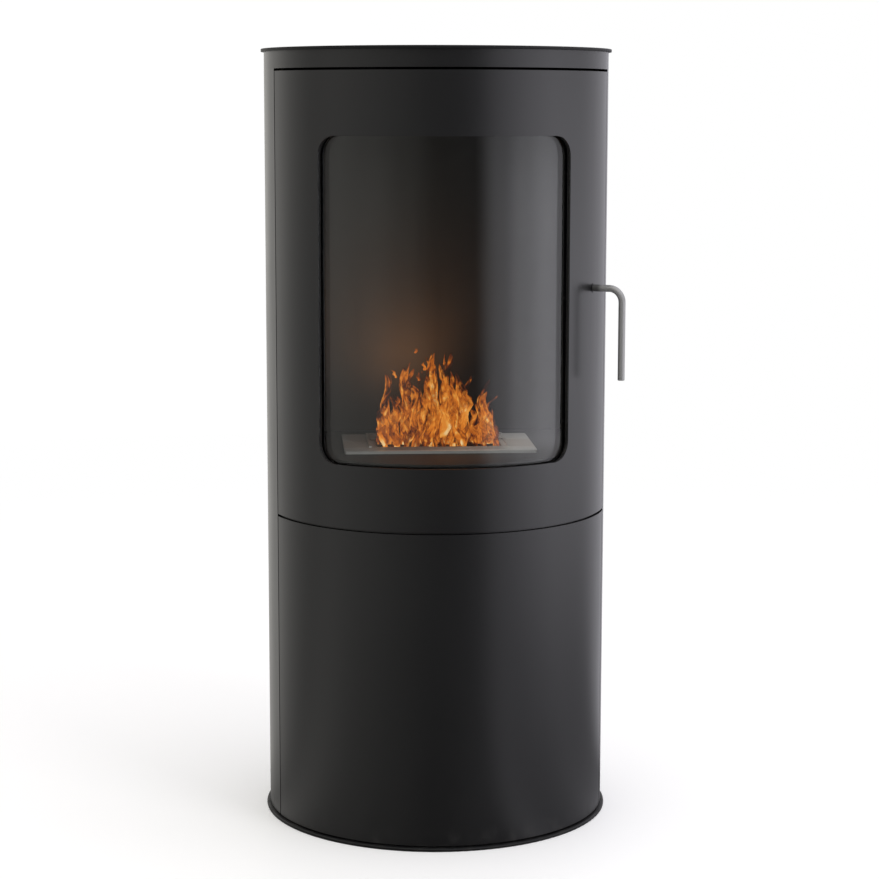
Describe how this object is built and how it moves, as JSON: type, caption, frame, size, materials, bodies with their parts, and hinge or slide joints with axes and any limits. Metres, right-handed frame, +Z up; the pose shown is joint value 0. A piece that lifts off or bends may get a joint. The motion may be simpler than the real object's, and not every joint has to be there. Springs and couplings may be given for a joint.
{
  "type": "bioethanol fireplace",
  "caption": "Free-standing round black steel bioethanol stove with a curved glazed door, bent rod handle, lower storage door and a stainless burner with a sliding lid.",
  "frame": {"origin": "centre of the base plate's underside, on the stove body's axis, on the floor", "axes": "+Z up along the body's axis; the doors face -Y; +X is to the right of someone who faces the doors"},
  "size_m": [0.4118, 0.408, 0.9],
  "materials": {
    "black_steel": "satin black powder coat",
    "firebox_black": "matt black heat-proof paint",
    "zinc_steel": "zinc-plated steel",
    "spring_steel": "spring steel strip",
    "satin_steel": "satin steel rod",
    "stainless": "brushed stainless steel",
    "bush_brass": "turned brass",
    "door_glass": "clear curved heat-proof glass",
    "gasket_rope": "black glass-fibre gasket",
    "soft_bumper": "black silicone",
    "catch_plastic": "black moulded catch body",
    "ceramic_wool": "white ceramic fibre block"
  },
  "bodies": {
    "stove": {"base_plate": "black_steel", "plinth_strip": "black_steel", "rear_shell": "black_steel", "top_plate": "black_steel", "top_ring": "black_steel", "top_plate_screws": "zinc_steel", "middle_shelf": "black_steel", "shelf_brackets": "black_steel", "left_jamb": "black_steel", "right_jamb": "black_steel", "door_bumpers": "soft_bumper", "top_hinge_bracket": "black_steel", "top_hinge_pin": "zinc_steel", "middle_hinge_pin": "zinc_steel", "base_hinge_pin": "zinc_steel", "latch_keeper": "spring_steel", "keeper_bracket": "black_steel", "magnet_catch": "catch_plastic", "magnet_bracket": "black_steel", "firebox_liner": "firebox_black", "firebox_floor": "firebox_black", "floor_angles": "firebox_black", "front_apron": "firebox_black", "baffle": "firebox_black"},
    "upper_door": {"upper_door_skin": "black_steel", "upper_door_top_plate": "black_steel", "upper_door_bottom_plate": "black_steel", "upper_door_bushes": "bush_brass", "door_glass": "door_glass", "glass_gasket": "gasket_rope", "glass_frame": "black_steel", "frame_studs": "zinc_steel", "frame_nuts": "zinc_steel", "handle_bush": "black_steel"},
    "handle": {"handle_rod": "satin_steel", "latch_tongue": "zinc_steel", "tongue_nut": "zinc_steel"},
    "lower_door": {"lower_door_skin": "black_steel", "lower_door_top_plate": "black_steel", "lower_door_bottom_plate": "black_steel", "lower_door_rib": "black_steel", "lower_door_bushes": "bush_brass", "strike_plate": "zinc_steel"},
    "burner": {"burner_tray": "stainless", "fuel_reservoir": "stainless", "ceramic_wool": "ceramic_wool", "wool_grille": "stainless", "lid_rails": "stainless"},
    "lid": {"burner_lid": "stainless", "lid_grip": "stainless"}
  },
  "joints": [
    {"name": "upper_door_swing", "type": "hinge", "parent": "stove", "child": "upper_door", "pos_m": [-0.17701, -0.07514, 0.62], "axis": [0, 0, -1], "range_deg": [0, 100], "deforming": ["latch_keeper"]},
    {"name": "handle_turn", "type": "hinge", "parent": "upper_door", "child": "handle", "pos_m": [0.1732, -0.1, 0.63], "axis": [0.866, -0.5, 0], "range_deg": [0, 90]},
    {"name": "lower_door_swing", "type": "hinge", "parent": "stove", "child": "lower_door", "pos_m": [-0.17701, -0.07514, 0.185], "axis": [0, 0, -1], "range_deg": [0, 100]},
    {"name": "burner_lift", "type": "slide", "parent": "stove", "child": "burner", "axis": [0, 0, 1], "range_m": [0, 0.12]},
    {"name": "lid_slide", "type": "slide", "parent": "burner", "child": "lid", "axis": [0, -1, 0], "range_m": [0, 0.053]}
  ]
}
